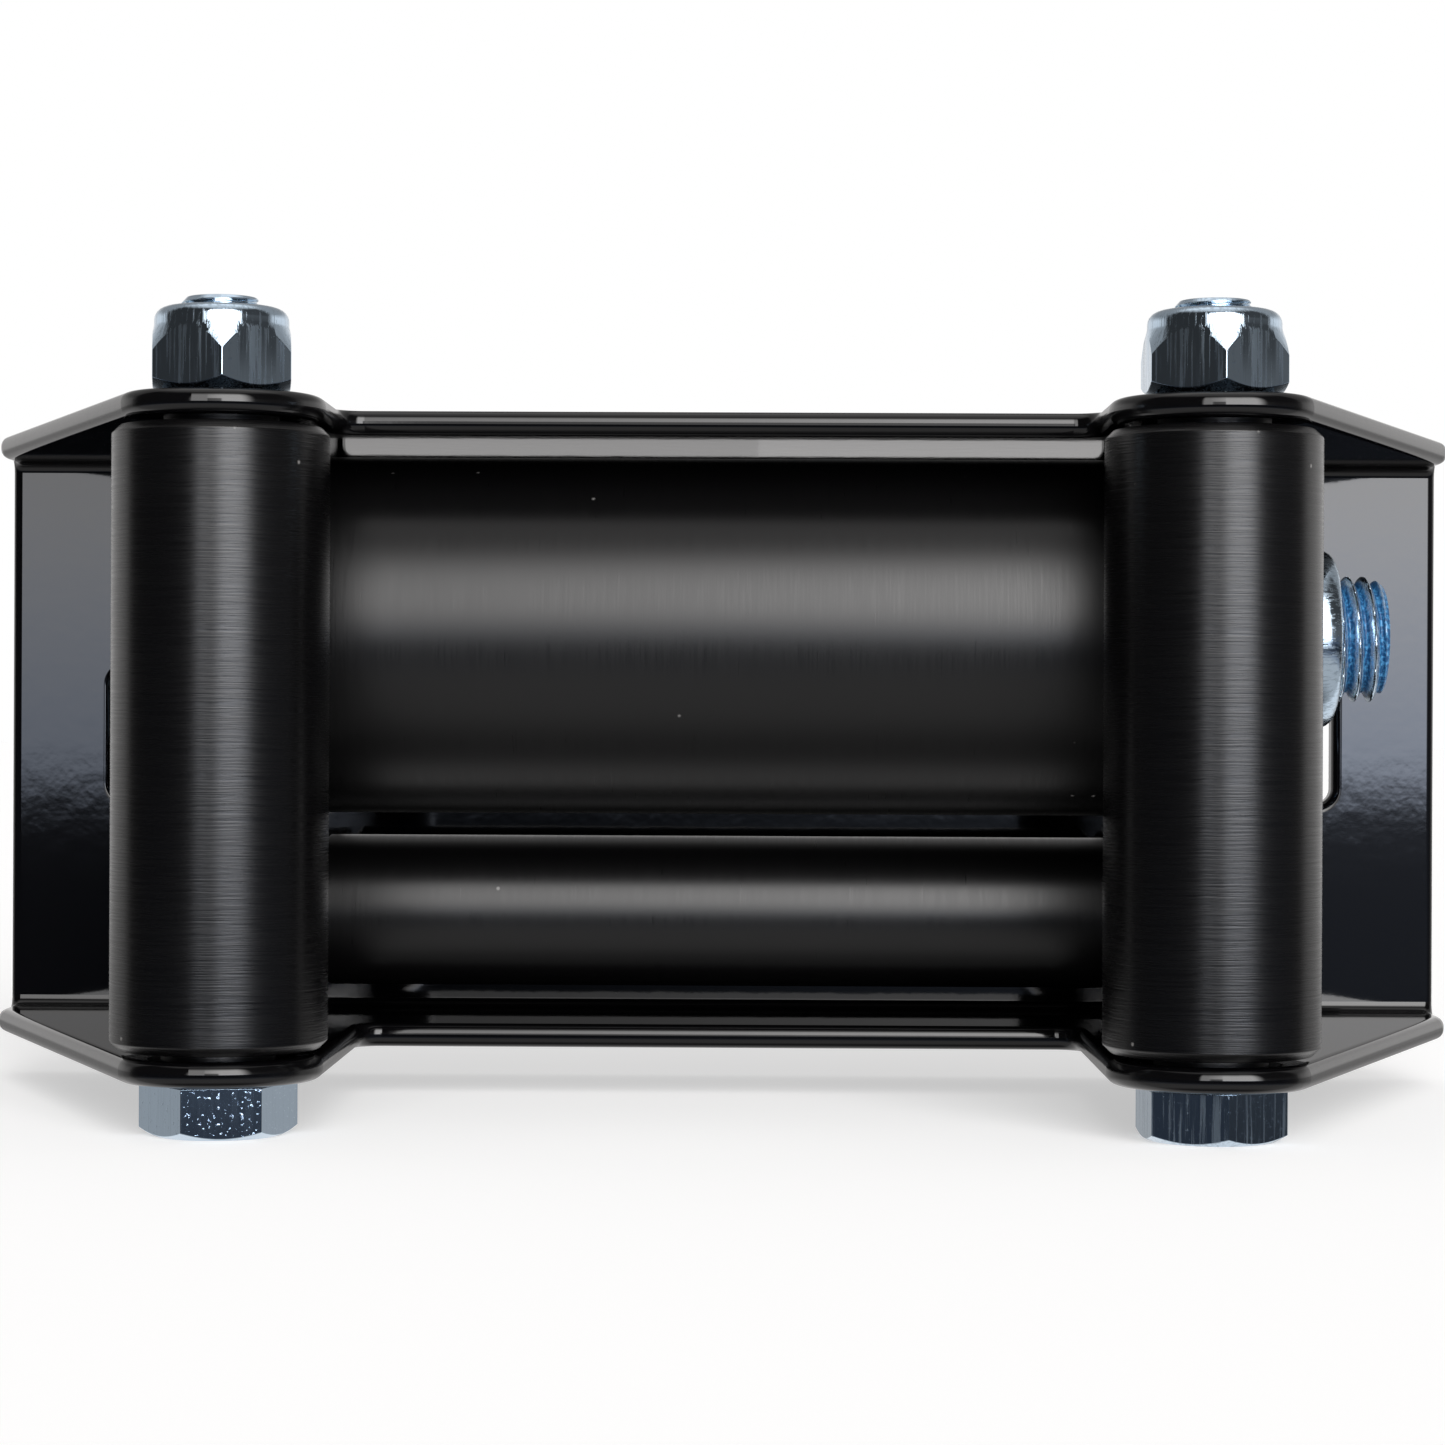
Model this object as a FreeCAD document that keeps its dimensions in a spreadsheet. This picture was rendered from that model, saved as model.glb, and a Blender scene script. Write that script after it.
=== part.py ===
import FreeCAD, Part
import os
import Sketcher
from FreeCAD import Vector

# Roller fairlead: a folded steel channel that carries four rollers and is bolted in front of a winch.
# X runs along the channel, Z is up and the rollers face -Y. The origin is the centre of the back
# plate's rear face. All sizes are in millimetres.

SIZES = (
    # The folded channel. Its height follows from the rollers that stand in it.
    ("frame_width", 194.4),
    ("plate", 3.0),
    ("bend_inner", 1.3),
    ("top_gap", 1.3),
    ("rope_gap", 3.2),
    ("bottom_gap", 4.5),
    # How far the edges between the ears stand forward of the rear face, and where the slant starts.
    ("top_reach", 53.2),
    ("bottom_reach", 30.5),
    ("straight_reach", 11.1),
    # The ears are round about the upright bolts. The outer corner is where the slant would meet the front.
    ("ear_front", 12.3),
    ("ear_outer", 8.1),
    ("ear_inner", 12.3),
    ("ear_inner_round", 12.0),
    ("ear_outer_round", 10.0),
    ("recess_round", 2.5),
    ("side_round", 8.0),
    ("edge_round", 1.35),
    # The rope window and the two mounting slots in the back plate.
    ("window_inset", 0.5),
    ("window_margin", 0.8),
    ("window_round", 1.5),
    ("slot_inset", 18.4),
    ("slot_width", 9.0),
    ("slot_height", 17.4),
    ("slot_round", 2.0),
    ("slot_mouth_round", 1.3),
    # The cheeks that carry the level axles, set in from the upright axes.
    ("cheek_inset", 5.6),
    ("cheek_plate", 4.0),
    ("cheek_front", 15.5),
    ("cheek_round", 6.0),
    # Rollers, and the gaps that set their axes.
    ("upright_spacing", 116.2),
    ("upright_diameter", 25.4),
    ("large_diameter", 45.4),
    ("small_diameter", 19.6),
    ("front_gap", 2.6),
    ("large_back_gap", 6.8),
    ("small_back_gap", 9.2),
    ("roller_chamfer", 1.0),
    ("end_gap", 0.6),
    # Fits, each on the radius.
    ("hole_clearance", 0.25),
    ("bolt_clearance", 0.1),
    ("running_clearance", 0.05),
    # Bushes pressed in the roller ends, and the sleeve that they turn on.
    ("upright_sleeve_wall", 1.6),
    ("large_sleeve_wall", 2.4),
    ("small_sleeve_wall", 1.4),
    ("upright_bush_wall", 1.5),
    ("large_bush_wall", 2.5),
    ("small_bush_wall", 1.5),
    ("upright_bush_length", 14.0),
    ("large_bush_length", 20.0),
    ("small_bush_length", 12.0),
    # Bolts: M10 upright, M16 and M8 level, and how far each stands out of its nut.
    ("upright_bolt", 10.0),
    ("large_bolt", 16.0),
    ("small_bolt", 8.0),
    ("bolt_chamfer", 1.0),
    ("upright_flats", 16.0),
    ("large_flats", 24.0),
    ("small_flats", 13.0),
    ("upright_head", 6.4),
    ("large_head", 10.0),
    ("small_head", 5.3),
    ("upright_proud", 1.2),
    ("large_proud", 6.4),
    ("small_proud", 5.2),
    # Lock nuts: a hexagon under a round collar that holds a nylon ring.
    ("upright_nut", 10.3),
    ("large_nut", 18.6),
    ("small_nut", 8.6),
    ("upright_nut_hex", 7.8),
    ("large_nut_hex", 13.2),
    ("small_nut_hex", 5.8),
    ("upright_collar", 15.7),
    ("large_collar", 23.4),
    ("small_collar", 12.0),
    ("collar_wall", 1.0),
    ("collar_lip", 0.9),
    # Washers under the heads and nuts of the level axles.
    ("large_washer", 3.0),
    ("small_washer", 1.6),
    ("large_washer_diameter", 30.0),
    ("small_washer_diameter", 17.0),
    # How far each upright fastener is turned about its own axis, in degrees.
    ("left_head_turn", 11.0),
    ("right_head_turn", -24.8),
    ("left_nut_turn", 39.0),
    ("right_nut_turn", 31.2),
)

doc = FreeCAD.newDocument("roller_fairlead")
sheet = doc.addObject("Spreadsheet::Sheet", "sizes")
for row, (alias, size) in enumerate(SIZES, 1):
    sheet.set(f"A{row}", alias)
    sheet.set(f"B{row}", str(size))
    sheet.setAlias(f"B{row}", alias)
doc.recompute()

ALONG, THROUGH, UP = Vector(1, 0, 0), Vector(0, 1, 0), Vector(0, 0, 1)

# Lengths that follow from the sheet, each written once as an expression. A reach is measured forward
# from the rear face, a half is measured from the middle.
INNER_HALF = ("((sizes.top_gap + sizes.large_diameter + sizes.rope_gap + sizes.small_diameter"
              " + sizes.bottom_gap) / 2)")
HALF_HEIGHT = f"({INNER_HALF} + sizes.plate)"
LARGE_RISE = f"({INNER_HALF} - sizes.top_gap - sizes.large_diameter / 2)"
SMALL_DROP = f"({INNER_HALF} - sizes.bottom_gap - sizes.small_diameter / 2)"
LARGE_REACH = "(sizes.plate + sizes.large_back_gap + sizes.large_diameter / 2)"
SMALL_REACH = "(sizes.plate + sizes.small_back_gap + sizes.small_diameter / 2)"
UPRIGHT_REACH = (f"({LARGE_REACH} + sizes.large_diameter / 2 + sizes.front_gap"
                 " + sizes.upright_diameter / 2)")
EAR_REACH = f"({UPRIGHT_REACH} + sizes.ear_front)"
EAR_OUTER_HALF = "(sizes.upright_spacing / 2 + sizes.ear_outer)"
EAR_INNER_HALF = "(sizes.upright_spacing / 2 - sizes.ear_inner)"
CHEEK_INNER = "(sizes.upright_spacing / 2 - sizes.cheek_inset)"
CHEEK_OUTER = f"({CHEEK_INNER} + sizes.cheek_plate)"
CHEEK_REACH = f"({LARGE_REACH} + sizes.cheek_front)"
WINDOW_HALF = f"({CHEEK_INNER} - sizes.window_inset)"
WINDOW_DROP = f"(sizes.large_diameter / 2 - {LARGE_RISE} + sizes.window_margin)"
SLOT_CENTRE = "(sizes.frame_width / 2 - sizes.slot_inset)"


def number(text):
    """The value of an expression, without its unit."""
    found = sheet.evalExpression(text)
    return float(getattr(found, "Value", found))


def new_body(label):
    body = doc.addObject("PartDesign::Body", label)
    body.Label = label
    return body


def bind(thing, **expressions):
    for name, text in expressions.items():
        thing.setExpression(name.replace("__", "."), text)


def place(body, x="0", y="0", z="0"):
    bind(body, Placement__Base__x=x, Placement__Base__y=y, Placement__Base__z=z)


def sketch_on(body, role, name):
    sketch = body.newObject("Sketcher::SketchObject", name)
    plane = next(item for item in body.Origin.OriginFeatures if item.Role == role)
    sketch.AttachmentSupport = [(plane, "")]
    sketch.MapMode = "FlatFace"
    return sketch


def hold(sketch, geometry, point, x, y):
    """Fix one point of a sketch at two expressions."""
    for kind, text in (("DistanceX", x), ("DistanceY", y)):
        index = sketch.addConstraint(Sketcher.Constraint(kind, -1, 1, geometry, point, number(text)))
        sketch.setExpression(f"Constraints[{index}]", text)


def outline(sketch, points):
    """A closed outline of straight lines, each corner held by expressions."""
    corners = [Vector(number(x), number(y), 0) for x, y in points]
    first = sketch.GeometryCount
    for start, end in zip(corners, corners[1:] + corners[:1]):
        sketch.addGeometry(Part.LineSegment(start, end))
    for index, (x, y) in enumerate(points):
        before = first + (index - 1) % len(points)
        sketch.addConstraint(Sketcher.Constraint("Coincident", before, 2, first + index, 1))
        hold(sketch, first + index, 1, x, y)


def circle(sketch, x, y, diameter):
    centre = Vector(number(x), number(y), 0)
    ring = sketch.addGeometry(Part.Circle(centre, Vector(0, 0, 1), number(diameter) / 2))
    hold(sketch, ring, 3, x, y)
    index = sketch.addConstraint(Sketcher.Constraint("Diameter", ring, number(diameter)))
    sketch.setExpression(f"Constraints[{index}]", diameter)


def rectangle(sketch, left, right, low, high):
    outline(sketch, ((left, low), (right, low), (right, high), (left, high)))


def feature(body, kind, name, sketch, **settings):
    """A sketch-based feature. A setting given as text is an expression."""
    made = body.newObject(f"PartDesign::{kind}", name)
    made.Profile = sketch
    for key, value in settings.items():
        if isinstance(value, str) and key.startswith("Length"):
            made.setExpression(key, value)
        else:
            setattr(made, key, value)
    sketch.Visibility = False
    doc.recompute()
    return made


def turned(body, name, points):
    """Revolve a half section, given as (radius, height) expressions, about the body's Z axis."""
    sketch = sketch_on(body, "XZ_Plane", f"{name}_section")
    outline(sketch, points)
    return feature(body, "Revolution", name, sketch, ReferenceAxis=(sketch, ["V_Axis"]), Angle=360)


def dress(body, kind, name, size, wanted):
    """A fillet on the edges of the tip that pass a test."""
    base = body.Tip
    names = [f"Edge{n}" for n, edge in enumerate(base.Shape.Edges, 1) if wanted(edge)]
    made = body.newObject(f"PartDesign::{kind}", name)
    made.Base = (base, names)
    made.setExpression("Radius", size)
    doc.recompute()
    return made


def within(axis, x_range, y_range):
    """A test for the straight edges along an axis whose middle is in two ranges of |X| and -Y."""
    def wanted(edge):
        if edge.Curve.TypeId != "Part::GeomLine":
            return False
        way = edge.Vertexes[-1].Point - edge.Vertexes[0].Point
        across, forward = abs(edge.CenterOfMass.x), -edge.CenterOfMass.y
        return (abs(abs(way.dot(axis)) - way.Length) < 1e-6
                and x_range[0] <= across <= x_range[1] and y_range[0] <= forward <= y_range[1])
    return wanted


# The channel -------------------------------------------------------------------------------------

def make_frame():
    """Back plate and two flanges folded from one sheet, with ears that hold the upright bolts."""
    frame = new_body("frame")
    high, low = HALF_HEIGHT, f"-{HALF_HEIGHT}"
    section = sketch_on(frame, "YZ_Plane", "channel_section")
    outline(section, (
        ("0", low), ("0", high), (f"-{EAR_REACH}", high), (f"-{EAR_REACH}", INNER_HALF),
        ("-sizes.plate", INNER_HALF), ("-sizes.plate", f"-{INNER_HALF}"),
        (f"-{EAR_REACH}", f"-{INNER_HALF}"), (f"-{EAR_REACH}", low),
    ))
    feature(frame, "Pad", "channel", section, Midplane=True, Length="sizes.frame_width")

    plate = number("sizes.plate")
    dress(frame, "Fillet", "inner_bend", "sizes.bend_inner", within(ALONG, (0, 1), (plate - 0.1, plate + 0.1)))
    dress(frame, "Fillet", "outer_bend", "sizes.bend_inner + sizes.plate", within(ALONG, (0, 1), (-0.1, 0.1)))

    # Between the ears each flange is cut back, the lower one further.
    for name, reach, backward in (("top", "sizes.top_reach", True), ("bottom", "sizes.bottom_reach", False)):
        recess = sketch_on(frame, "XY_Plane", f"{name}_recess_outline")
        rectangle(recess, f"-{EAR_INNER_HALF}", EAR_INNER_HALF, f"-{EAR_REACH} - 1", f"-{reach}")
        feature(frame, "Pocket", f"{name}_recess", recess, Type="ThroughAll", Reversed=backward)

    # The sides of both flanges run in from near the back corners to the ears.
    sides = sketch_on(frame, "XY_Plane", "flange_sides")
    for sign in ("", "-"):
        outline(sides, (
            (f"{sign}sizes.frame_width / 2", "-sizes.straight_reach"), (f"{sign}{EAR_OUTER_HALF}", f"-{EAR_REACH}"),
            (f"{sign}{EAR_OUTER_HALF}", f"-{EAR_REACH} - 1"), (f"{sign}(sizes.frame_width / 2 + 1)", f"-{EAR_REACH} - 1"),
            (f"{sign}(sizes.frame_width / 2 + 1)", "-sizes.straight_reach"),
        ))
    feature(frame, "Pocket", "slanted_sides", sides, Type="ThroughAll", Midplane=True)
    round_outline(frame)

    holes = sketch_on(frame, "XY_Plane", "upright_bolt_holes")
    for sign in ("", "-"):
        circle(holes, f"{sign}sizes.upright_spacing / 2", f"-{UPRIGHT_REACH}",
               "sizes.upright_bolt + 2 * sizes.hole_clearance")
    feature(frame, "Pocket", "bolt_holes", holes, Type="ThroughAll", Midplane=True)

    # The rope window reaches up to the fold. The slots take the mounting bolts.
    window = sketch_on(frame, "XZ_Plane", "window_outline")
    rectangle(window, f"-{WINDOW_HALF}", WINDOW_HALF, f"-{WINDOW_DROP}", f"{INNER_HALF} - sizes.bend_inner")
    for sign in ("", "-"):
        rectangle(window, f"{sign}({SLOT_CENTRE} - sizes.slot_width / 2)",
                  f"{sign}({SLOT_CENTRE} + sizes.slot_width / 2)",
                  "-sizes.slot_height / 2", "sizes.slot_height / 2")
    feature(frame, "Pocket", "openings", window, Type="Length", Length="sizes.plate * 2", Midplane=True)

    round_openings(frame)


def round_outline(frame):
    """Round the corners of the sheet in plan, and then its whole edge, on both faces."""
    ear, inner = number(EAR_REACH), number(EAR_INNER_HALF)
    outer, side = number(EAR_OUTER_HALF), number("sizes.frame_width / 2")
    straight = number("sizes.straight_reach")
    at_front, beside = (ear - 0.1, ear + 0.1), (inner - 0.1, inner + 0.1)
    dress(frame, "Fillet", "recess_corners", "sizes.recess_round",
          within(UP, beside, (number("sizes.plate"), ear - 0.1)))
    dress(frame, "Fillet", "ear_inner_corners", "sizes.ear_inner_round", within(UP, beside, at_front))
    dress(frame, "Fillet", "ear_outer_corners", "sizes.ear_outer_round",
          within(UP, (outer - 0.1, outer + 0.1), at_front))
    dress(frame, "Fillet", "side_corners", "sizes.side_round",
          within(UP, (side - 0.1, side + 0.1), (straight - 0.1, straight + 0.1)))
    # The fillet runs on from this straight edge round the whole sheet, on each face.
    reach = number("sizes.top_reach")
    dress(frame, "Fillet", "sheet_edge", "sizes.edge_round", within(ALONG, (-1, 1), (reach - 0.1, reach + 0.1)))


def round_openings(frame):
    """Round the corners of the rope window and of the slots, and the slots' mouths in front."""
    edge, side = number(WINDOW_HALF), number("sizes.frame_width / 2")
    plate = number("sizes.plate")
    beyond = (edge + 0.1, side - number("sizes.side_round"))
    dress(frame, "Fillet", "window_corners", "sizes.window_round",
          within(THROUGH, (edge - 0.1, edge + 0.1), (0, plate)))
    dress(frame, "Fillet", "slot_corners", "sizes.slot_round", within(THROUGH, beyond, (0, plate)))
    dress(frame, "Fillet", "slot_mouths", "sizes.slot_mouth_round", within(UP, beyond, (plate - 0.1, plate + 0.1)))


def make_cheek(label, sign):
    """An upright plate welded between the flanges, with a hole for each level axle."""
    cheek = new_body(label)
    relief = "(sizes.bend_inner + 0.3)"
    face = sketch_on(cheek, "YZ_Plane", "cheek_face")
    outline(face, (
        ("-sizes.plate", f"-{INNER_HALF} + {relief}"), (f"-sizes.plate - {relief}", f"-{INNER_HALF}"),
        (f"-{CHEEK_REACH}", f"-{INNER_HALF}"), (f"-{CHEEK_REACH}", INNER_HALF),
        (f"-sizes.plate - {relief}", INNER_HALF), ("-sizes.plate", f"{INNER_HALF} - {relief}"),
    ))
    circle(face, f"-{LARGE_REACH}", LARGE_RISE, "sizes.large_bolt + 2 * sizes.hole_clearance")
    circle(face, f"-{SMALL_REACH}", f"-{SMALL_DROP}", "sizes.small_bolt + 2 * sizes.hole_clearance")
    feature(cheek, "Pad", "cheek_plate", face, Length="sizes.cheek_plate")
    reach, thickness = number(CHEEK_REACH), number("sizes.cheek_plate")
    dress(cheek, "Fillet", "front_corners", "sizes.cheek_round",
          within(ALONG, (0, thickness), (reach - 0.1, reach + 0.1)))
    place(cheek, x=CHEEK_INNER if sign > 0 else f"-{CHEEK_OUTER}")


# Rollers and what turns inside them --------------------------------------------------------------
# Each roller set is drawn about its own Z axis, with its middle at the origin, and then placed.

SPAN_HALF = {"upright": INNER_HALF, "large": CHEEK_INNER, "small": CHEEK_INNER}
SEAT = {
    "upright": HALF_HEIGHT,
    "large": f"({CHEEK_OUTER} + sizes.large_washer)",
    "small": f"({CHEEK_OUTER} + sizes.small_washer)",
}

LEVEL_PLACE = {"large": (LARGE_REACH, LARGE_RISE), "small": (SMALL_REACH, f"-{SMALL_DROP}")}


def radii(kind):
    """Radius expressions from the bolt outwards: sleeve inside and outside, bush inside and outside."""
    sleeve_in = f"(sizes.{kind}_bolt / 2 + sizes.bolt_clearance)"
    sleeve_out = f"({sleeve_in} + sizes.{kind}_sleeve_wall)"
    bush_in = f"({sleeve_out} + sizes.running_clearance)"
    bush_out = f"({bush_in} + sizes.{kind}_bush_wall)"
    return sleeve_in, sleeve_out, bush_in, bush_out


def stand(body, where):
    """Place a piece of a roller set: upright ones as drawn, level ones with Z turned to X."""
    kind, side = where
    if kind == "upright":
        place(body, x=f"{'' if side > 0 else '-'}sizes.upright_spacing / 2", y=f"-{UPRIGHT_REACH}")
        return
    body.Placement = FreeCAD.Placement(Vector(0, 0, 0), FreeCAD.Rotation(Vector(0, 1, 0), 90))
    reach, height = LEVEL_PLACE[kind]
    place(body, y=f"-{reach}", z=height)


def make_roller(label, where):
    """A turned tube with a chamfer at each end."""
    kind = where[0]
    body = new_body(label)
    bore, rim = radii(kind)[3], f"sizes.{kind}_diameter / 2"
    end = f"({SPAN_HALF[kind]} - sizes.end_gap)"
    turned(body, "barrel", (
        (bore, f"-{end}"), (f"{rim} - sizes.roller_chamfer", f"-{end}"),
        (rim, f"-{end} + sizes.roller_chamfer"), (rim, f"{end} - sizes.roller_chamfer"),
        (f"{rim} - sizes.roller_chamfer", end), (bore, end),
    ))
    stand(body, where)


def make_tube(label, where, inside, outside, low, high):
    body = new_body(label)
    turned(body, "tube", ((inside, low), (outside, low), (outside, high), (inside, high)))
    stand(body, where)


def make_bushes(name, where, ends):
    """A plain bearing pressed flush in each end of a roller."""
    kind = where[0]
    bush_in, bush_out = radii(kind)[2:]
    end = f"({SPAN_HALF[kind]} - sizes.end_gap)"
    start = f"({end} - sizes.{kind}_bush_length)"
    make_tube(f"{name}_{ends[0]}_bush", where, bush_in, bush_out, f"-{end}", f"-{start}")
    make_tube(f"{name}_{ends[1]}_bush", where, bush_in, bush_out, start, end)


# Bolts, nuts and washers -------------------------------------------------------------------------

def hexagon(sketch, flats):
    """A hexagon with two flats facing along the sketch's Y axis."""
    wide, near, side = f"{flats} / sqrt(3)", f"{flats} / (2 * sqrt(3))", f"{flats} / 2"
    outline(sketch, (
        (wide, "0"), (near, side), (f"-{near}", side), (f"-{wide}", "0"), (f"-{near}", f"-{side}"),
        (near, f"-{side}"),
    ))


def turn(body, where, angle):
    """Turn an upright fastener about its own axis."""
    if where[0] == "upright":
        body.Placement = FreeCAD.Placement(Vector(0, 0, 0), FreeCAD.Rotation(Vector(0, 0, 1), number(angle)))


def make_bolt(label, where, angle="0"):
    """A hexagon head below the seat and a plain shank with a chamfered end."""
    kind = where[0]
    body = new_body(label)
    radius, chamfer = f"sizes.{kind}_bolt / 2", "sizes.bolt_chamfer"
    end = f"({SEAT[kind]} + sizes.{kind}_nut + sizes.{kind}_proud)"
    turned(body, "shank", (
        ("0", f"-{SEAT[kind]}"), (radius, f"-{SEAT[kind]}"), (radius, f"{end} - {chamfer}"),
        (f"{radius} - {chamfer}", end), ("0", end),
    ))
    head = sketch_on(body, "XY_Plane", "head_hexagon")
    bind(head, AttachmentOffset__Base__z=f"-{SEAT[kind]}")
    hexagon(head, f"sizes.{kind}_flats")
    feature(body, "Pad", "head", head, Length=f"sizes.{kind}_head", Reversed=True)
    turn(body, where, angle)
    stand(body, where)


def make_nut(name, where, angle="0"):
    """A lock nut: the hexagon, the collar rolled over the nylon ring, and the ring itself."""
    kind = where[0]
    bore = f"sizes.{kind}_bolt / 2"
    rim, ring = f"sizes.{kind}_collar / 2", f"(sizes.{kind}_collar / 2 - sizes.collar_wall)"
    base, hexagon_top = SEAT[kind], f"({SEAT[kind]} + sizes.{kind}_nut_hex)"
    top = f"({base} + sizes.{kind}_nut)"
    under_lip = f"({top} - sizes.collar_lip)"
    lip = f"({ring} - sizes.collar_lip)"

    nut = new_body(f"{name}_nut")
    flats = sketch_on(nut, "XY_Plane", "nut_hexagon")
    bind(flats, AttachmentOffset__Base__z=base)
    hexagon(flats, f"sizes.{kind}_flats")
    circle(flats, "0", "0", f"sizes.{kind}_bolt")
    feature(nut, "Pad", "hexagon", flats, Length=f"sizes.{kind}_nut_hex")
    turned(nut, "collar", (
        (ring, hexagon_top), (rim, hexagon_top), (rim, under_lip), (f"{rim} - sizes.collar_lip", top),
        (lip, top), (lip, under_lip), (ring, under_lip),
    ))
    turn(nut, where, angle)
    stand(nut, where)
    make_tube(f"{name}_nut_ring", where, bore, ring, hexagon_top, under_lip)


def make_washers(kind):
    """One washer under the head and one under the nut of a level axle."""
    hole, rim = f"sizes.{kind}_bolt / 2 + sizes.hole_clearance", f"sizes.{kind}_washer_diameter / 2"
    make_tube(f"{kind}_left_washer", (kind, 0), hole, rim, f"-{SEAT[kind]}", f"-{CHEEK_OUTER}")
    make_tube(f"{kind}_right_washer", (kind, 0), hole, rim, CHEEK_OUTER, SEAT[kind])


def make_set(name, roller, where, ends, head_turn="0", nut_turn="0"):
    """A roller with its bushes, the sleeve that they turn on, and its bolt and nut."""
    kind = where[0]
    sleeve_in, sleeve_out = radii(kind)[:2]
    make_roller(roller, where)
    make_bushes(name, where, ends)
    make_tube(f"{name}_sleeve", where, sleeve_in, sleeve_out, f"-{SPAN_HALF[kind]}", SPAN_HALF[kind])
    make_bolt(f"{name}_bolt", where, head_turn)
    make_nut(name, where, nut_turn)


make_frame()
make_cheek("left_cheek", -1)
make_cheek("right_cheek", 1)
for side_name, side in (("left", -1), ("right", 1)):
    make_set(f"{side_name}_upright", f"{side_name}_upright_roller", ("upright", side), ("lower", "upper"),
             f"sizes.{side_name}_head_turn", f"sizes.{side_name}_nut_turn")
for size_name in ("large", "small"):
    make_set(size_name, f"{size_name}_level_roller", (size_name, 0), ("left", "right"))
    make_washers(size_name)
doc.recompute()

# Nothing is written unless every object computed and every piece is one sound solid.
for item in doc.Objects:
    if "Invalid" in item.State or "Error" in item.State:
        raise SystemExit(f"{item.Label} did not compute: {item.State}")
pieces = [item for item in doc.Objects if item.TypeId == "PartDesign::Body"]
for piece in pieces:
    if piece.Shape.isNull() or not piece.Shape.isValid() or len(piece.Shape.Solids) != 1:
        raise SystemExit(f"{piece.Label} is not one valid solid")

os.makedirs("parts", exist_ok=True)
for piece in pieces:
    piece.Shape.exportStep(os.path.join("parts", f"{piece.Label}.step"))
print(f"{len(pieces)} pieces written")
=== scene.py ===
import math

import bmesh
import bpy
from mathutils import Matrix, Vector


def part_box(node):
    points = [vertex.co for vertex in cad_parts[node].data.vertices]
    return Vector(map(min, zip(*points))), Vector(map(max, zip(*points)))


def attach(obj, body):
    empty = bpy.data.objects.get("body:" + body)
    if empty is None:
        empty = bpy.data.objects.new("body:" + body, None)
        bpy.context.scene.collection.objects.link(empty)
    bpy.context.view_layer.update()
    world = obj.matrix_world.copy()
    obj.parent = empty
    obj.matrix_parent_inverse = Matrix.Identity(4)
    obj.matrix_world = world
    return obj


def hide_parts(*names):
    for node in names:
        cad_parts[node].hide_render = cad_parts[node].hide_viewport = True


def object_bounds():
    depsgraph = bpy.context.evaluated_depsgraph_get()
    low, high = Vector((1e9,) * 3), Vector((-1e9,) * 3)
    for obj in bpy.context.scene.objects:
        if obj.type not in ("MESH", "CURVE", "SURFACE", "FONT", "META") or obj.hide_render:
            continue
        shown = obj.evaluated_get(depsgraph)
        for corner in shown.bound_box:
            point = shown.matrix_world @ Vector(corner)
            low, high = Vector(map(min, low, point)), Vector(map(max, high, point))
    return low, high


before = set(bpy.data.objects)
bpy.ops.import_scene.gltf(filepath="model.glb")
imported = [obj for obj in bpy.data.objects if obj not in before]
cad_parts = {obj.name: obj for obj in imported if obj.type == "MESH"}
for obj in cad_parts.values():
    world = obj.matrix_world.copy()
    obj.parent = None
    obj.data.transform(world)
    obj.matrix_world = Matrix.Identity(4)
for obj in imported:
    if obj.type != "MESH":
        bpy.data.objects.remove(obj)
cad_low, cad_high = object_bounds()

# A roller fairlead. Everything is in metres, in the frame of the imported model: X along the channel,
# Z up, the rollers towards -Y.


# The channel and its cheeks -----------------------------------------------------------------------
# Back plate, flanges and ears are one piece of 3 mm steel, punched, sheared and folded, with two
# cheeks welded in between. The whole is sprayed with gloss black powder and baked.

def add_node(tree, kind, inputs=None, **settings):
    """One shader node. An input is a plain value, or the output socket that feeds it."""
    made = tree.nodes.new(f"ShaderNode{kind}")
    for key, value in settings.items():
        setattr(made, key, value)
    for name, value in (inputs or {}).items():
        if isinstance(value, bpy.types.NodeSocket):
            tree.links.new(value, made.inputs[name])
        else:
            made.inputs[name].default_value = value
    return made


def new_group(name, inputs, outputs):
    """An empty node group, with the sockets that its nodes read from and write to."""
    group = bpy.data.node_groups.new(name, "ShaderNodeTree")
    for label, kind, value in inputs:
        socket = group.interface.new_socket(label, in_out="INPUT", socket_type=f"NodeSocket{kind}")
        if value is not None:
            socket.default_value = value
    for label, kind in outputs:
        group.interface.new_socket(label, in_out="OUTPUT", socket_type=f"NodeSocket{kind}")
    return group, group.nodes.new("NodeGroupInput").outputs, group.nodes.new("NodeGroupOutput").inputs


def use_group(tree, group, inputs):
    made = tree.nodes.new("ShaderNodeGroup")
    made.node_tree = group
    for name, value in inputs.items():
        if isinstance(value, bpy.types.NodeSocket):
            tree.links.new(value, made.inputs[name])
        else:
            made.inputs[name].default_value = value
    return made.outputs


def arithmetic(tree, operation, *values):
    return add_node(tree, "Math", dict(enumerate(values)), operation=operation).outputs[0]


def product(tree, first, *others):
    for other in others:
        first = arithmetic(tree, "MULTIPLY", first, other)
    return first


def ramp(tree, value, start, end, low=0.0, high=1.0):
    """A smooth step from low to high as a value goes from start to end."""
    return add_node(tree, "MapRange", {
        "Value": value, "From Min": start, "From Max": end, "To Min": low, "To Max": high,
    }, interpolation_type="SMOOTHSTEP").outputs["Result"]


def stretched(tree, place, along):
    """A place scaled by a different count per metre along each axis."""
    return add_node(tree, "VectorMath", {0: place, 1: along}, operation="MULTIPLY").outputs[0]


def noise(tree, place, scale=1.0, detail=2.0, roughness=0.5):
    return add_node(tree, "TexNoise", {
        "Vector": place, "Scale": scale, "Detail": detail, "Roughness": roughness,
    }).outputs["Fac"]


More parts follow.
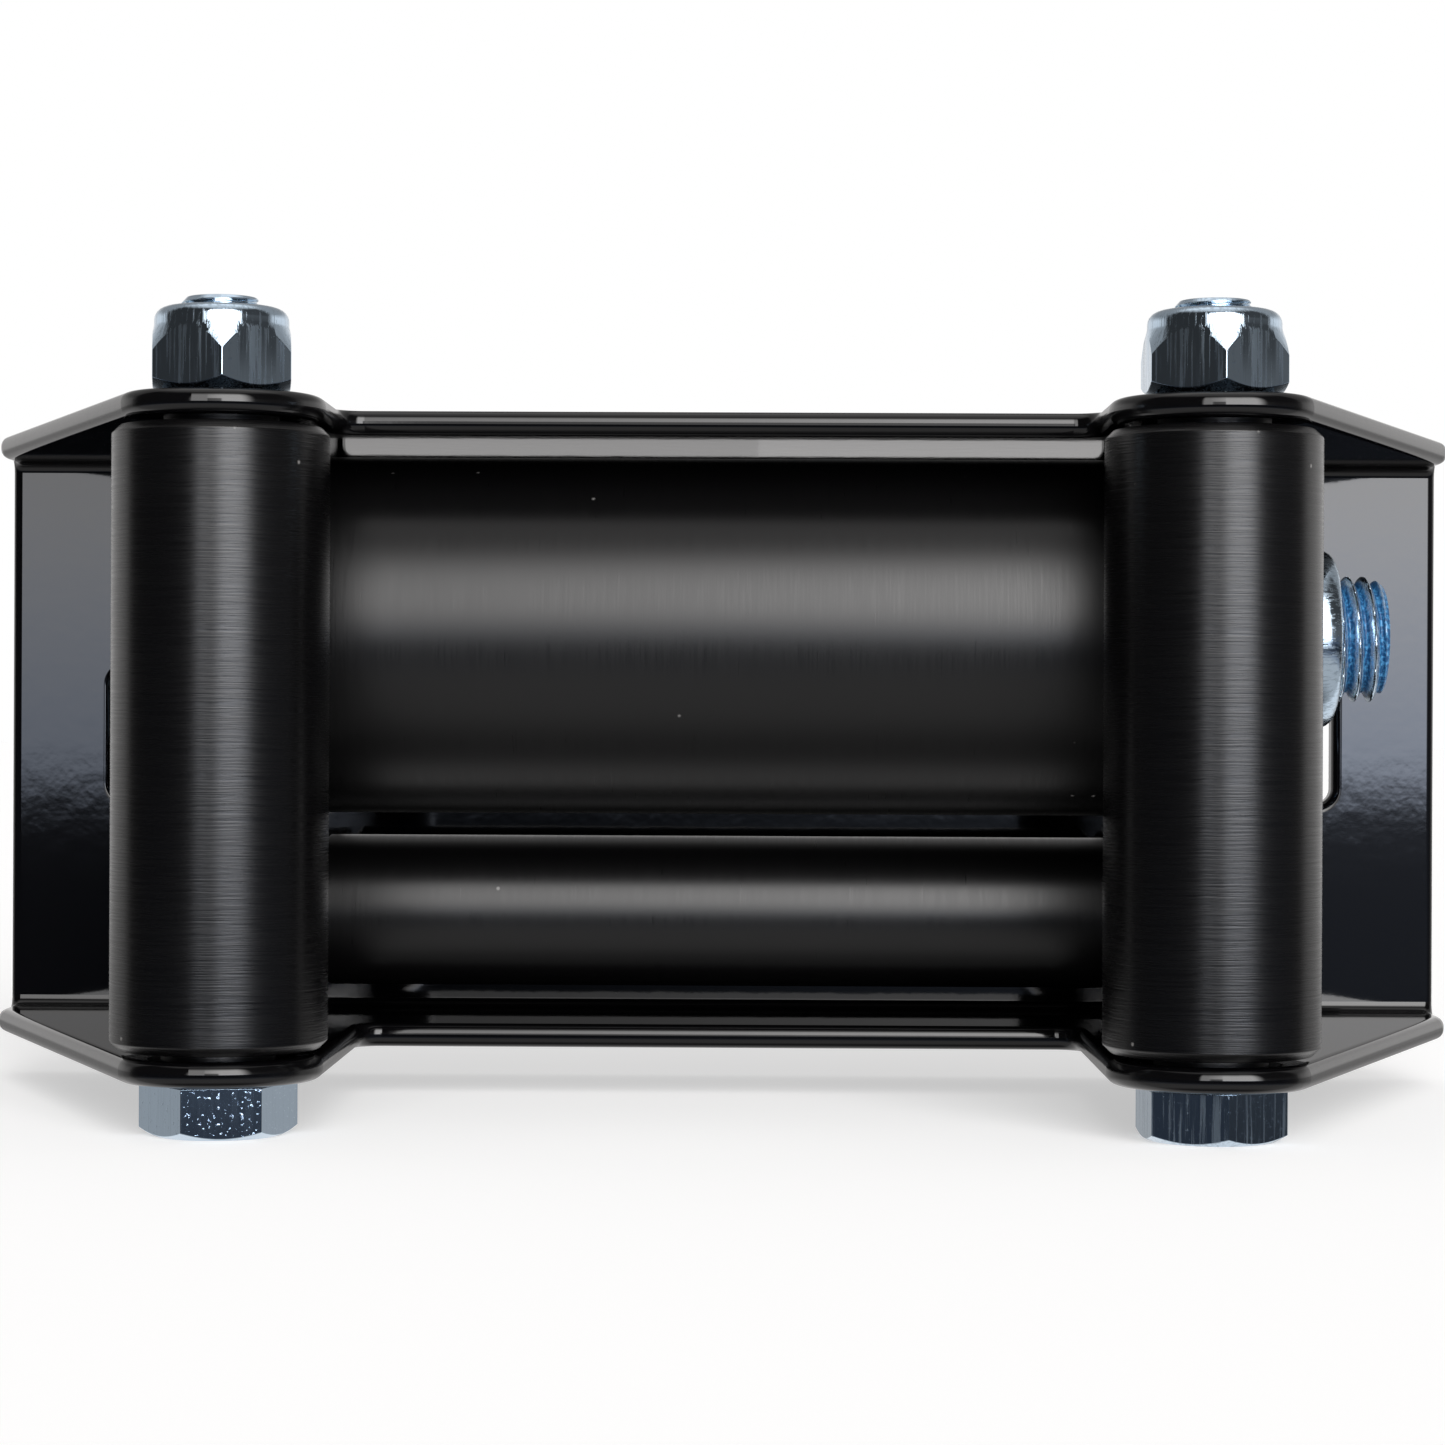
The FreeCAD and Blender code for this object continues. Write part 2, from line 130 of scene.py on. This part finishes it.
def mixed(tree, factor, first, second):
    """One colour laid over another."""
    made = tree.nodes.new("ShaderNodeMix")
    made.data_type = "RGBA"
    for socket, value in ((made.inputs[0], factor), (made.inputs[6], first), (made.inputs[7], second)):
        if isinstance(value, bpy.types.NodeSocket):
            tree.links.new(value, socket)
        else:
            socket.default_value = value
    return made.outputs[2]


def new_material(name):
    """A material's tree, its shader, and places on the piece in metres."""
    material = bpy.data.materials.new(name)
    material.use_nodes = True
    tree = material.node_tree
    shader = next(item for item in tree.nodes if item.type == "BSDF_PRINCIPLED")
    return material, tree, shader, tree.nodes.new("ShaderNodeTexCoord").outputs


def feed(tree, shader, **sockets):
    """Set or link sockets of the shader, named with underscores for spaces."""
    for name, value in sockets.items():
        socket = shader.inputs[name.replace("_", " ")]
        if isinstance(value, bpy.types.NodeSocket):
            tree.links.new(value, socket)
        else:
            socket.default_value = value


def raised(tree, height, depth, under=None):
    """The normal of a surface that stands out by a height times a depth in metres."""
    inputs = {"Height": height, "Distance": depth, "Strength": 1.0}
    if under is not None:
        inputs["Normal"] = under
    return add_node(tree, "Bump", inputs).outputs["Normal"]


# Dust sits on every black surface in the same way, so it is one group.
DUST, dust_in, dust_out = new_group(
    "settled_dust", (("Place", "Vector", None), ("Per metre", "Float", 300.0), ("Share", "Float", 0.1)),
    (("Specks", "Float"),))
dust_tree = dust_out["Specks"].node.id_data
cells = add_node(dust_tree, "TexVoronoi", {"Vector": dust_in["Place"], "Scale": dust_in["Per metre"]})
chosen = add_node(dust_tree, "SeparateColor", {"Color": cells.outputs["Color"]}).outputs[0]
kept = arithmetic(dust_tree, "LESS_THAN", chosen, dust_in["Share"])
near = ramp(dust_tree, cells.outputs["Distance"], 0.10, 0.03)
dust_tree.links.new(product(dust_tree, kept, near), dust_out["Specks"])

POWDER_BLACK = (0.0016, 0.0015, 0.0018, 1.0)
DUST_GREY = (0.16, 0.155, 0.15, 1.0)
PEEL_DEPTH = 7e-6
SHEAR_MARK_DEPTH = 1.2e-5

powder_coat, tree, shader, where = new_material("gloss_black_powder")
peel = arithmetic(tree, "ADD", noise(tree, where["Object"], 330.0, 2.0),
                  product(tree, noise(tree, where["Object"], 1300.0, 1.0), 0.16))
# Sheared edges face sideways. The shear leaves upright marks on them, which the powder only dulls.
facing = add_node(tree, "SeparateXYZ", {"Vector": where["Normal"]}).outputs
sheared = ramp(tree, arithmetic(tree, "ABSOLUTE", facing["X"]), 0.45, 0.7)
marks = noise(tree, stretched(tree, where["Object"], (0.0, 1900.0, 45.0)), 1.0, 3.0, 0.6)
specks = use_group(tree, DUST, {"Place": where["Object"], "Per metre": 420.0, "Share": 0.05})["Specks"]
peeled = raised(tree, peel, PEEL_DEPTH)
marked = raised(tree, product(tree, marks, sheared), SHEAR_MARK_DEPTH, peeled)
feed(tree, shader, Base_Color=mixed(tree, specks, POWDER_BLACK, DUST_GREY),
     Roughness=arithmetic(tree, "ADD", product(tree, sheared, 0.16), 0.05),
     IOR=1.5, Normal=marked)


def paint(material, *names):
    """Give CAD nodes a finish."""
    for name in names:
        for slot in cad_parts[name].material_slots:
            slot.material = material


paint(powder_coat, "frame", "left_cheek", "right_cheek")


# Bushes and sleeves -------------------------------------------------------------------------------
# Black acetal bushes are pressed into the roller ends. They turn on sleeves of dark drawn steel, which
# the bolts clamp between the flanges or the cheeks.

acetal, tree, shader, where = new_material("black_acetal")
cloudy = noise(tree, where["Object"], 500.0, 3.0)
feed(tree, shader,
     Base_Color=mixed(tree, cloudy, (0.006, 0.006, 0.006, 1.0), (0.011, 0.011, 0.011, 1.0)),
     Roughness=ramp(tree, cloudy, 0.3, 0.7, 0.38, 0.5), IOR=1.48,
     Normal=raised(tree, noise(tree, where["Object"], 2500.0), 8e-6))
paint(acetal, *(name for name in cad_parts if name.endswith("_bush")))

drawn_steel, tree, shader, where = new_material("drawn_steel")
drawing = noise(tree, where["Object"], 1500.0, 3.0)
feed(tree, shader, Base_Color=mixed(tree, drawing, (0.05, 0.05, 0.05, 1.0), (0.10, 0.10, 0.10, 1.0)),
     Metallic=1.0, Roughness=ramp(tree, drawing, 0.3, 0.7, 0.4, 0.55),
     Normal=raised(tree, drawing, 5e-6))
paint(drawn_steel, *(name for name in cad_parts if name.endswith("_sleeve")))


# Rollers ------------------------------------------------------------------------------------------
# Four tubes turned from black bar. The tool leaves fine rings round them, which draw the light out
# along the roller. Each is built about its own Z axis, and then stood or laid in its place.

ROLLER_BLACK = (0.0016, 0.0015, 0.0017, 1.0)
CHAMFER = 0.0010
ROLLER_STEPS = 192

RINGS, ring_in, ring_out = new_group(
    "turned_rings", (("Place", "Vector", None), ("Per metre", "Float", 2000.0)),
    (("Height", "Float"), ("Patch", "Float")))
ring_tree = ring_out["Height"].node.id_data
axial = add_node(ring_tree, "SeparateXYZ", {"Vector": ring_in["Place"]}).outputs["Z"]
counted = add_node(ring_tree, "CombineXYZ", {"Z": product(ring_tree, axial, ring_in["Per metre"])}).outputs[0]
fine = noise(ring_tree, counted, 1.0, 4.0, 0.65)
# A ring is never quite the same all the way round.
patch = noise(ring_tree, stretched(ring_tree, ring_in["Place"], (130.0, 130.0, 4200.0)), 1.0, 2.0, 0.6)
ring_tree.links.new(arithmetic(ring_tree, "ADD", product(ring_tree, fine, 0.4), patch), ring_out["Height"])
ring_tree.links.new(patch, ring_out["Patch"])


def turned_black(name, per_metre, depth, low, high):
    """The rollers' finish, with rings of a given count and depth and a range of roughness."""
    material, tree, shader, where = new_material(name)
    rings = use_group(tree, RINGS, {"Place": where["Object"], "Per metre": per_metre})
    dust = {"Place": where["Object"], "Per metre": 300.0, "Share": 0.07}
    specks = use_group(tree, DUST, dust)["Specks"]
    blend = product(tree, arithmetic(tree, "ADD", rings["Height"], rings["Patch"]), 0.5)
    feed(tree, shader, Base_Color=mixed(tree, specks, ROLLER_BLACK, DUST_GREY),
         Roughness=ramp(tree, blend, 0.3, 0.7, low, high), IOR=1.5,
         Normal=raised(tree, rings["Height"], depth))
    return material


UPRIGHT_BLACK = turned_black("turned_black_upright", 1700.0, 1.9e-5, 0.20, 0.28)
LEVEL_BLACK = turned_black("turned_black_level", 900.0, 3e-6, 0.27, 0.33)


def shell(name, rings, steps, closed=False):
    """A mesh of rings about Z, each a function of the angle that gives its radius and height."""
    mesh = bpy.data.meshes.new(name)
    work = bmesh.new()
    loops = [[work.verts.new((radius * math.cos(angle), radius * math.sin(angle), height))
              for angle in (step * math.tau / steps for step in range(steps))
              for radius, height in (ring(angle),)]
             for ring in rings]
    for low, high in zip(loops, loops[1:] + (loops[:1] if closed else [])):
        for step in range(steps):
            after = (step + 1) % steps
            work.faces.new((low[step], low[after], high[after], high[step]))
    if not closed:
        work.faces.new(reversed(loops[0]))
        work.faces.new(loops[-1])
    bmesh.ops.recalc_face_normals(work, faces=work.faces)
    work.to_mesh(mesh)
    work.free()
    mesh.shade_smooth()
    mesh.set_sharp_from_angle(angle=math.radians(32))
    piece = bpy.data.objects.new(name, mesh)
    bpy.context.scene.collection.objects.link(piece)
    return piece


def round_ring(radius, height):
    return lambda angle: (radius, height)


def stand(piece, middle, upright, turn=0.0):
    """Put a piece that is built about Z in its place: upright, or laid with Z along X."""
    lean = Matrix.Identity(4) if upright else Matrix.Rotation(math.radians(90), 4, "Y")
    piece.matrix_world = Matrix.Translation(middle) @ lean @ Matrix.Rotation(math.radians(turn), 4, "Z")


def soften(piece, width, angle=25):
    """Break the sharp edges, as plating or a light cut does."""
    bevel = piece.modifiers.new("broken_edges", "BEVEL")
    bevel.width, bevel.segments = width, 2
    bevel.limit_method, bevel.angle_limit = "ANGLE", math.radians(angle)
    bevel.harden_normals = True


AXES = {}
for node, body, bush in (
    ("left_upright_roller", "left_upright", "left_upright_upper_bush"),
    ("right_upright_roller", "right_upright", "right_upright_upper_bush"),
    ("large_level_roller", "large_level", "large_right_bush"),
    ("small_level_roller", "small_level", "small_right_bush"),
):
    low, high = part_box(node)
    bush_low, bush_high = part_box(bush)
    upright = node.endswith("upright_roller")
    middle, size = (low + high) / 2, high - low
    length, radius = (size.z, size.x / 2) if upright else (size.x, size.z / 2)
    bore = (bush_high.y - bush_low.y) / 2
    half = length / 2
    outside = [(bore, -half), (radius - CHAMFER, -half), (radius, -half + CHAMFER)]
    mirrored = [(across, -height) for across, height in reversed(outside)]
    roller = shell(f"{node.replace('_roller', '')}_barrel",
                   [round_ring(*point) for point in outside + mirrored], ROLLER_STEPS, closed=True)
    soften(roller, 0.00012)
    roller.data.materials.append(UPRIGHT_BLACK if upright else LEVEL_BLACK)
    stand(roller, middle, upright)
    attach(roller, body)
    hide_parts(node)
    AXES[body] = middle


# Bolts --------------------------------------------------------------------------------------------
# Hexagon bolts, cold forged with a washer face and a chamfered head, and rolled threads. All are
# zinc plated, with a blue tint. The large one still has thread locker in its grooves.

ZINC = (0.58, 0.71, 0.84, 1.0)
ZINC_DULL = (0.20, 0.25, 0.27, 1.0)

PLATING, plate_in, plate_out = new_group(
    "forged_and_plated", (("Place", "Vector", None), ("Lines", "Float", 0.3)),
    (("Height", "Float"), ("Dull", "Float")))
plate_tree = plate_out["Height"].node.id_data
place = plate_in["Place"]
dents = ramp(plate_tree, noise(plate_tree, place, 1900.0, 3.0, 0.65), 0.60, 0.74)
swell = noise(plate_tree, place, 260.0, 1.0)
die_lines = noise(plate_tree, stretched(plate_tree, place, (2800.0, 2800.0, 60.0)), 1.0, 3.0, 0.6)
lined = product(plate_tree, ramp(plate_tree, die_lines, 0.46, 0.64), plate_in["Lines"])
plate_tree.links.new(arithmetic(plate_tree, "ADD", arithmetic(plate_tree, "ADD", dents, lined), swell),
                     plate_out["Height"])
plate_tree.links.new(arithmetic(plate_tree, "ADD", product(plate_tree, dents, 0.4), lined), plate_out["Dull"])


def plated(name, lines):
    """Zinc over forged steel. Lines is how far the marks of the die stand out against the dents."""
    material, tree, shader, where = new_material(name)
    plating = use_group(tree, PLATING, {"Place": where["Object"], "Lines": lines})
    feed(tree, shader, Base_Color=mixed(tree, product(tree, plating["Dull"], 0.3), ZINC, ZINC_DULL),
         Metallic=1.0, Roughness=ramp(tree, plating["Dull"], 0.0, 1.0, 0.07, 0.32),
         Normal=raised(tree, plating["Height"], 6e-6))
    return material


zinc, lined_zinc = plated("bright_zinc", 0.15), plated("lined_zinc", 0.9)
paint(zinc, "large_left_washer", "large_right_washer", "small_left_washer", "small_right_washer")

# Across flats, thread radius and pitch of M10, M16 and M8.
UPRIGHT_THREAD = 0.016, 0.005, 0.0015
LARGE_THREAD = 0.024, 0.008, 0.0020
SMALL_THREAD = 0.013, 0.004, 0.00125
# The depth of a thread, as a share of its pitch.
THREAD_ROOT = 0.61
LOCKER_BLUE, LOCKER_PALE = (0.006, 0.060, 0.17, 1.0), (0.07, 0.27, 0.50, 1.0)


def locked_thread():
    """Zinc crests over grooves that are filled with blue thread locker."""
    material, tree, shader, where = new_material("blue_thread_locker")
    _, radius, pitch = LARGE_THREAD
    parts = add_node(tree, "SeparateXYZ", {"Vector": where["Object"]}).outputs
    flat = add_node(tree, "CombineXYZ", {"X": parts["X"], "Y": parts["Y"]}).outputs[0]
    distance = add_node(tree, "VectorMath", {0: flat}, operation="LENGTH").outputs["Value"]
    ragged = noise(tree, where["Object"], 1200.0, 4.0, 0.7)
    level = arithmetic(tree, "ADD", distance, product(tree, ragged, 0.0013))
    bare = ramp(tree, level, radius - pitch * THREAD_ROOT + 0.0010, radius + 0.0004)
    patchy = ramp(tree, noise(tree, where["Object"], 2100.0, 3.0, 0.7), 0.45, 0.62)
    blue = mixed(tree, patchy, LOCKER_BLUE, LOCKER_PALE)
    feed(tree, shader, Base_Color=mixed(tree, bare, blue, ZINC), Metallic=bare,
         Roughness=ramp(tree, bare, 0.0, 1.0, 0.34, 0.24), IOR=1.5,
         Normal=raised(tree, ragged, 6e-5))
    return material


def hexagon(angle, flats):
    """The distance from the axis to the side of a hexagon whose flats face along Y."""
    return flats / 2 / math.cos(angle % math.radians(60) - math.radians(30))


def hexagon_ring(flats, start, height, slope):
    """A ring on the sides of a hexagon, moved along the axis by a chamfer that starts at a radius."""
    def ring(angle):
        reach = hexagon(angle, flats)
        return reach, height + slope * max(0.0, reach - start)
    return ring


def thread_ring(radius, pitch, height, end):
    """A ring across a rolled thread, cut back by the chamfer at the bolt's end."""
    depth = pitch * THREAD_ROOT

    def ring(angle):
        phase = (height / pitch - angle / math.tau) % 1
        groove = min(1.0, max(0.0, 1.4 * abs(2 * phase - 1) - 0.2))
        return min(radius - depth * groove, radius - depth + (end - height) * 0.9), height
    return ring


HEAD_SLOPE = math.tan(math.radians(30))
# The height of the washer face under a head, as a share of the head.
WASHER_FACE = 0.06
HEX_STEPS = 120
THREAD_ROWS = 12


def make_bolt(name, node, thread, head, grip, proud):
    """Head, washer face, shank and thread, about Z with the nut end up. grip is from the middle to
    the head's seat and to the top of the nut, and the thread starts a little way inside the nut."""
    flats, radius, pitch = thread
    end = grip[1] + proud
    start, face = flats * 0.475, flats * 0.47
    under = -grip[0] - head * WASHER_FACE
    rings = [
        round_ring(start, -grip[0] - head),
        hexagon_ring(flats, start, -grip[0] - head, HEAD_SLOPE),
        hexagon_ring(flats, flats, under, 0.0),
        round_ring(face, under),
        round_ring(face, -grip[0]),
        round_ring(radius, -grip[0]),
        round_ring(radius, grip[1] - 1.5 * pitch),
    ]
    rows = math.ceil((proud + pitch) / pitch * THREAD_ROWS)
    rings += [thread_ring(radius, pitch, end - (proud + pitch) * (1 - row / rows), end)
              for row in range(rows + 1)]
    bolt = shell(name, rings, HEX_STEPS)
    soften(bolt, 0.00017)
    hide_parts(node)
    return bolt


# How each fastener is turned about its axis when it is tight, in degrees.
for side, turn, finish in (("left", 11.0, zinc), ("right", -24.8, lined_zinc)):
    low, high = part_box(f"{side}_upright_bolt")
    nut_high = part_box(f"{side}_upright_nut")[1]
    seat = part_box("frame")[1].z
    bolt = make_bolt(f"{side}_upright_hex_bolt", f"{side}_upright_bolt", UPRIGHT_THREAD, -seat - low.z,
                     (seat, nut_high.z), high.z - nut_high.z)
    bolt.data.materials.append(finish)
    stand(bolt, AXES[f"{side}_upright"], True, turn)
    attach(bolt, "frame")

blue_thread = locked_thread()
for size, thread in (("large", LARGE_THREAD), ("small", SMALL_THREAD)):
    low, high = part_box(f"{size}_bolt")
    nut_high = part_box(f"{size}_nut")[1]
    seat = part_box(f"{size}_left_washer")[0].x
    bolt = make_bolt(f"{size}_hex_bolt", f"{size}_bolt", thread, seat - low.x,
                     (-seat, nut_high.x), high.x - nut_high.x)
    bolt.data.materials.append(zinc)
    if size == "large":
        bolt.data.materials.append(blue_thread)
        for face in bolt.data.polygons:
            face.material_index = int(face.center.z > nut_high.x - thread[2] and len(face.vertices) == 4)
    stand(bolt, AXES[f"{size}_level"], False)
    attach(bolt, "frame")


# Lock nuts ----------------------------------------------------------------------------------------
# Each is a hexagon with deep chamfers that run up into a round collar, forged and zinc plated. The
# collar is rolled over a natural nylon ring, which grips the thread.

nylon, tree, shader, where = new_material("natural_nylon")
milky = noise(tree, where["Object"], 700.0, 2.0)
feed(tree, shader, Base_Color=mixed(tree, milky, (0.74, 0.76, 0.74, 1.0), (0.86, 0.87, 0.84, 1.0)),
     Roughness=ramp(tree, milky, 0.3, 0.7, 0.28, 0.4), IOR=1.53, Subsurface_Weight=0.1,
     Subsurface_Scale=0.001, Normal=raised(tree, noise(tree, where["Object"], 1800.0), 6e-6))

# The slope of the chamfers below the collar and at the foot, and the collar's own wall.
COLLAR_SLOPE, FOOT_SLOPE = 2.2, 0.7
COLLAR_WALL = 0.0010
ROLL_STEPS = 7


def make_nut(name, node, flats, radius, base, hex_height, ring_reach, under_lip, top):
    """A nut about Z, from its base up. The inside follows the ring and the bolt."""
    collar = ring_reach + COLLAR_WALL
    bore, start = radius + 0.00002, flats * 0.43
    lip = ring_reach - (top - under_lip)
    roll_in, roll_down = collar - lip - 0.00025, (top - hex_height) * 0.62
    rings = [
        round_ring(bore + 0.0003, base), round_ring(start, base),
        hexagon_ring(flats, start, base, FOOT_SLOPE),
        hexagon_ring(flats, collar, hex_height, -COLLAR_SLOPE),
        round_ring(collar + 0.00006, hex_height + 0.0001), round_ring(collar, hex_height + 0.0004),
    ]
    rings += [
        round_ring(collar - roll_in * (1 - math.cos(step / ROLL_STEPS * math.pi / 2)),
                   top - roll_down * (1 - math.sin(step / ROLL_STEPS * math.pi / 2)))
        for step in range(ROLL_STEPS + 1)
    ]
    rings += [round_ring(*point) for point in (
        (lip + 0.0002, top - 0.00008), (lip, top - 0.0003), (lip, under_lip), (ring_reach, under_lip),
        (ring_reach, hex_height), (bore, hex_height), (bore, base + 0.0003),
    )]
    nut = shell(name, rings, HEX_STEPS, closed=True)
    soften(nut, 0.00022)
    nut.data.materials.append(lined_zinc)
    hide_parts(node)
    return nut


def make_ring(name, node, radius, ring_reach, low, high):
    """The nylon ring, crowned where the collar's lip squeezes it against the bolt."""
    crown, inside = 0.0002, radius + 0.00003
    span = ring_reach - inside
    rings = [round_ring(inside, low), round_ring(ring_reach - 0.00003, low),
             round_ring(ring_reach - 0.00003, high - 0.00002),
             round_ring(inside + span * 0.6, high - 0.00001)]
    rings += [round_ring(inside + span * share, high + crown * lift)
              for share, lift in ((0.45, 0.6), (0.25, 1.0), (0.08, 0.6), (0.0, 0.0))]
    ring = shell(name, rings, HEX_STEPS, closed=True)
    ring.data.materials.append(nylon)
    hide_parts(node)
    return ring


for name, axis, along, thread, hex_height, turn in (
    ("left_upright", "left_upright", 2, UPRIGHT_THREAD, 0.0078, 39.0),
    ("right_upright", "right_upright", 2, UPRIGHT_THREAD, 0.0078, 31.2),
    ("large", "large_level", 0, LARGE_THREAD, 0.0132, 0.0),
    ("small", "small_level", 0, SMALL_THREAD, 0.0058, 0.0),
):
    flats, radius, _ = thread
    nut_low, nut_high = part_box(f"{name}_nut")
    ring_low, ring_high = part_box(f"{name}_nut_ring")
    reach = (ring_high.y - ring_low.y) / 2
    nut = make_nut(f"{name}_lock_nut", f"{name}_nut", flats, radius, nut_low[along],
                   nut_low[along] + hex_height, reach, ring_high[along], nut_high[along])
    ring = make_ring(f"{name}_nylon_ring", f"{name}_nut_ring", radius, reach,
                     ring_low[along] + 0.00002, ring_high[along])
    for piece in (nut, ring):
        stand(piece, AXES[axis], along == 2, turn)
        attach(piece, "frame")


# Studio -------------------------------------------------------------------------------------------
# A pale floor, lit a little from below, under a white sky. One broad soft light stands in front and
# a little to the right, over a dark bench, with dark walls left and right and white paper behind.

floor_mesh = bpy.data.meshes.new("studio_floor")
floor_work = bmesh.new()
bmesh.ops.create_grid(floor_work, x_segments=8, y_segments=8, size=6.0)
floor_work.to_mesh(floor_mesh)
floor_work.free()
floor = bpy.data.objects.new("studio_floor", floor_mesh)
bpy.context.scene.collection.objects.link(floor)
floor.location.z = cad_low.z
floor.visible_glossy = False
paper, tree, shader, where = new_material("studio_paper")
cloudy = noise(tree, where["Object"], 3.0)
feed(tree, shader, Base_Color=mixed(tree, cloudy, (0.60, 0.60, 0.60, 1.0), (0.61, 0.61, 0.61, 1.0)),
     Roughness=0.9, Specular_IOR_Level=0.0, Emission_Color=(1.0, 1.0, 1.0, 1.0), Emission_Strength=0.5)
floor_mesh.materials.append(paper)

world = bpy.data.worlds.new("studio")
bpy.context.scene.world = world
world.use_nodes = True
tree = world.node_tree
tree.nodes.clear()
around = tree.nodes.new("ShaderNodeTexCoord").outputs["Generated"]
way = add_node(tree, "SeparateXYZ", {"Vector": around}).outputs
# Where a part of the room lies, in degrees: its rise over level, and its bearing to the right of -Y.
rise = arithmetic(tree, "DEGREES", arithmetic(tree, "ARCSINE", way["Z"]))
bearing = arithmetic(tree, "DEGREES", arithmetic(tree, "ARCTAN2", way["X"], product(tree, way["Y"], -1.0)))
away = arithmetic(tree, "ABSOLUTE", bearing)

# The soft light's left, right, lower and upper edges, and how it brightens to the right and upwards.
soft_light = product(
    tree, ramp(tree, bearing, -19.0, -15.0), ramp(tree, bearing, 45.0, 27.0),
    ramp(tree, rise, -1.5, -0.7), ramp(tree, rise, 60.0, 32.0),
    ramp(tree, bearing, -10.0, 9.0, 3.7, 7.4), ramp(tree, rise, -1.5, 3.5, 0.75, 1.0))
# A stand in front of the light shades the middle of its foot.
shaded = product(tree, ramp(tree, away, 8.0, 5.0), ramp(tree, rise, 15.0, 6.0))
soft_light = product(tree, soft_light, ramp(tree, shaded, 0.0, 1.0, 1.0, 0.25))
# The paper behind is darker below the object and high up.
behind = product(tree, ramp(tree, away, 97.0, 110.0), ramp(tree, rise, -5.0, -1.0, 0.38, 0.8),
                 ramp(tree, rise, 8.0, 28.0, 1.0, 0.35))
overhead = ramp(tree, rise, 50.0, 75.0, 0.0, 0.75)
# The bench is pale a little way out and dark right under the object.
bench = product(tree, ramp(tree, rise, -11.0, -26.0, 0.0, 0.5), ramp(tree, rise, -75.0, -48.0, 0.2, 1.0))
right_wall = product(tree, ramp(tree, bearing, -6.0, 8.0), ramp(tree, rise, 20.0, 5.0, 0.05, 0.2),
                     ramp(tree, bearing, 40.0, 62.0, 1.0, 0.45), ramp(tree, rise, -6.0, -4.4))
ROOM_GLOW = 0.035
total = arithmetic(tree, "MAXIMUM", soft_light, behind)
for part in (overhead, bench, right_wall, ROOM_GLOW):
    total = arithmetic(tree, "ADD", total, part)
# What stands low in front is bluish, and all else is a little warm.
warm = arithmetic(tree, "MAXIMUM", ramp(tree, rise, -4.0, 6.0), ramp(tree, away, 60.0, 100.0))
warm = arithmetic(tree, "MAXIMUM", warm, ramp(tree, rise, -12.0, -26.0))
tint = mixed(tree, warm, (0.80, 0.95, 1.25, 1.0), (1.0, 0.985, 0.98, 1.0))
lit = add_node(tree, "Background", {"Color": tint, "Strength": total})
plain = add_node(tree, "Background", {"Color": (1.0, 1.0, 1.0, 1.0), "Strength": 1.0})
seen = tree.nodes.new("ShaderNodeLightPath").outputs["Is Camera Ray"]
sky = add_node(tree, "MixShader", {0: seen, 1: lit.outputs[0], 2: plain.outputs[0]})
tree.links.new(sky.outputs[0], tree.nodes.new("ShaderNodeOutputWorld").inputs["Surface"])
bpy.context.scene.view_settings.view_transform = "Standard"

camera_data = bpy.data.cameras.new("camera")
camera_data.lens, camera_data.sensor_width = 85.97, 36.0
camera_data.clip_start, camera_data.clip_end = 0.01, 50.0
camera = bpy.data.objects.new("camera", camera_data)
camera.location = (0.00485, -0.47444, 0.00238)
camera.rotation_euler = (math.radians(90.0 - 0.050), math.radians(-0.262), math.radians(0.576))
bpy.context.scene.collection.objects.link(camera)
bpy.context.scene.camera = camera
